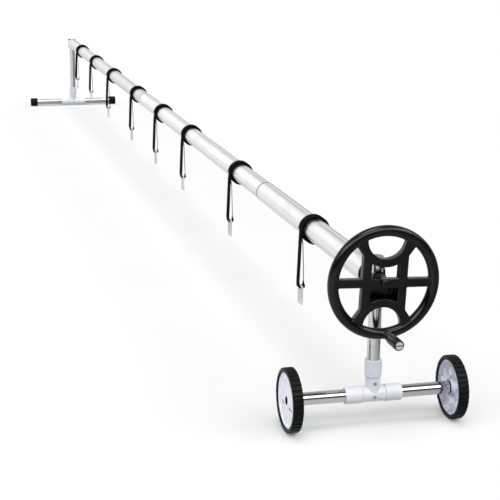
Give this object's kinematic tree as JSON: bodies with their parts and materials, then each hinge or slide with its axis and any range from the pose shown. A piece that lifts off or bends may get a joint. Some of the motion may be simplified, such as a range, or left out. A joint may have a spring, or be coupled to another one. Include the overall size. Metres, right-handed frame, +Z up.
{
  "type": "pool cover reel",
  "caption": "Telescopic keyed tube reel in two T stands, one on road wheels, with a handwheel, a turning grip and webbing straps with clips",
  "frame": {"origin": "on the floor, at the middle of the reel's length and width", "axes": "+X along the tube towards the handwheel, +Y across the stands to the right of someone who faces the handwheel's front, +Z up"},
  "size_m": [6.668, 0.612, 0.613],
  "materials": {
    "stainless": "satin",
    "tube_aluminium": "satin",
    "white_pvc": "satin",
    "wheel_white": "satin",
    "black_plastic": "satin",
    "black_rubber": "matte",
    "tyre_black": "matte",
    "chrome": "polished",
    "fastener_steel": "satin",
    "webbing": "matte",
    "clip_plastic": "satin",
    "grey_plastic": "satin"
  },
  "bodies": {
    "near_stand": {"near_post": "stainless", "near_post_cap": "grey_plastic", "near_tee": "white_pvc", "near_base_tube": "stainless", "near_tee_screws": "fastener_steel", "near_bushes": "black_plastic", "post_screw": "fastener_steel", "axle_plug_left": "black_plastic", "axle_plug_right": "black_plastic", "axle_bolt_left": "fastener_steel", "axle_bolt_right": "fastener_steel"},
    "left_wheel": {"wheel_left": "wheel_white", "tyre_left": "tyre_black"},
    "right_wheel": {"wheel_right": "wheel_white", "tyre_right": "tyre_black"},
    "reel": {"outer_tube": "tube_aluminium", "outer_end_plug": "black_plastic", "drive_shaft": "fastener_steel", "handwheel": "black_plastic", "handwheel_bolt": "fastener_steel", "bolt_cap": "black_plastic", "grip_spindle": "chrome", "outer_lock_screw": "fastener_steel", "strap_band_outer": "webbing"},
    "grip": {"hand_grip": "black_plastic"},
    "middle_section": {"middle_tube": "tube_aluminium", "middle_lock_screw": "fastener_steel", "strap_bands_middle": "webbing"},
    "inner_section": {"inner_tube": "tube_aluminium", "inner_end_plug": "grey_plastic", "far_shaft": "fastener_steel", "shaft_retainer": "black_plastic", "strap_bands_inner": "webbing"},
    "far_stand": {"far_post": "stainless", "far_housing": "white_pvc", "housing_bolts": "black_plastic", "far_bushes": "black_plastic", "far_tee": "white_pvc", "far_tee_screws": "fastener_steel", "far_base_tube": "stainless", "far_cap_left": "black_rubber", "far_cap_right": "black_rubber"},
    "tail_1": {"strap_tail_1": "webbing", "strap_clip_1": "clip_plastic"},
    "tail_2": {"strap_tail_2": "webbing", "strap_clip_2": "clip_plastic"},
    "tail_3": {"strap_tail_3": "webbing", "strap_clip_3": "clip_plastic"},
    "tail_4": {"strap_tail_4": "webbing", "strap_clip_4": "clip_plastic"},
    "tail_5": {"strap_tail_5": "webbing", "strap_clip_5": "clip_plastic"},
    "tail_6": {"strap_tail_6": "webbing", "strap_clip_6": "clip_plastic"},
    "tail_7": {"strap_tail_7": "webbing", "strap_clip_7": "clip_plastic"},
    "tail_8": {"strap_tail_8": "webbing", "strap_clip_8": "clip_plastic"}
  },
  "joints": [
    {"name": "left_wheel_spin", "type": "hinge", "parent": "near_stand", "child": "left_wheel", "pos_m": [3.154, -0.25, 0.095], "axis": [0, 1, 0], "continuous": true},
    {"name": "right_wheel_spin", "type": "hinge", "parent": "near_stand", "child": "right_wheel", "pos_m": [3.154, 0.25, 0.095], "axis": [0, 1, 0], "continuous": true},
    {"name": "reel_spin", "type": "hinge", "parent": "near_stand", "child": "reel", "pos_m": [3.154, 0, 0.447], "axis": [1, 0, 0], "continuous": true},
    {"name": "grip_spin", "type": "hinge", "parent": "reel", "child": "grip", "pos_m": [3.238, 0.00837, 0.29723], "axis": [1, 0, 0], "continuous": true},
    {"name": "middle_slide", "type": "slide", "parent": "reel", "child": "middle_section", "axis": [1, 0, 0], "range_m": [-0.05, 0.34]},
    {"name": "inner_slide", "type": "slide", "parent": "middle_section", "child": "inner_section", "axis": [1, 0, 0], "range_m": [-0.05, 0.18]},
    {"name": "far_stand_turn", "type": "hinge", "parent": "inner_section", "child": "far_stand", "pos_m": [-3.297, 0, 0.447], "axis": [1, 0, 0], "continuous": true},
    {"name": "tail_1_swing", "type": "hinge", "parent": "reel", "child": "tail_1", "pos_m": [2.55782, -0.0486, 0.447], "axis": [-1, 0, 0], "range_deg": [0, 95]},
    {"name": "tail_2_swing", "type": "hinge", "parent": "middle_section", "child": "tail_2", "pos_m": [1.5922, -0.04685, 0.447], "axis": [-1, 0, 0], "range_deg": [0, 95]},
    {"name": "tail_3_swing", "type": "hinge", "parent": "middle_section", "child": "tail_3", "pos_m": [0.70684, -0.04685, 0.447], "axis": [-1, 0, 0], "range_deg": [0, 95]},
    {"name": "tail_4_swing", "type": "hinge", "parent": "middle_section", "child": "tail_4", "pos_m": [0.05948, -0.04685, 0.447], "axis": [-1, 0, 0], "range_deg": [0, 95]},
    {"name": "tail_5_swing", "type": "hinge", "parent": "inner_section", "child": "tail_5", "pos_m": [-0.63199, -0.0451, 0.447], "axis": [-1, 0, 0], "range_deg": [0, 95]},
    {"name": "tail_6_swing", "type": "hinge", "parent": "inner_section", "child": "tail_6", "pos_m": [-1.42943, -0.0451, 0.447], "axis": [-1, 0, 0], "range_deg": [0, 95]},
    {"name": "tail_7_swing", "type": "hinge", "parent": "inner_section", "child": "tail_7", "pos_m": [-2.1215, -0.0451, 0.447], "axis": [-1, 0, 0], "range_deg": [0, 95]},
    {"name": "tail_8_swing", "type": "hinge", "parent": "inner_section", "child": "tail_8", "pos_m": [-2.7623, -0.0451, 0.447], "axis": [-1, 0, 0], "range_deg": [0, 95]}
  ],
  "couplings": [
    {"joint": "far_stand_turn", "follows": "reel_spin", "ratio": -1}
  ]
}
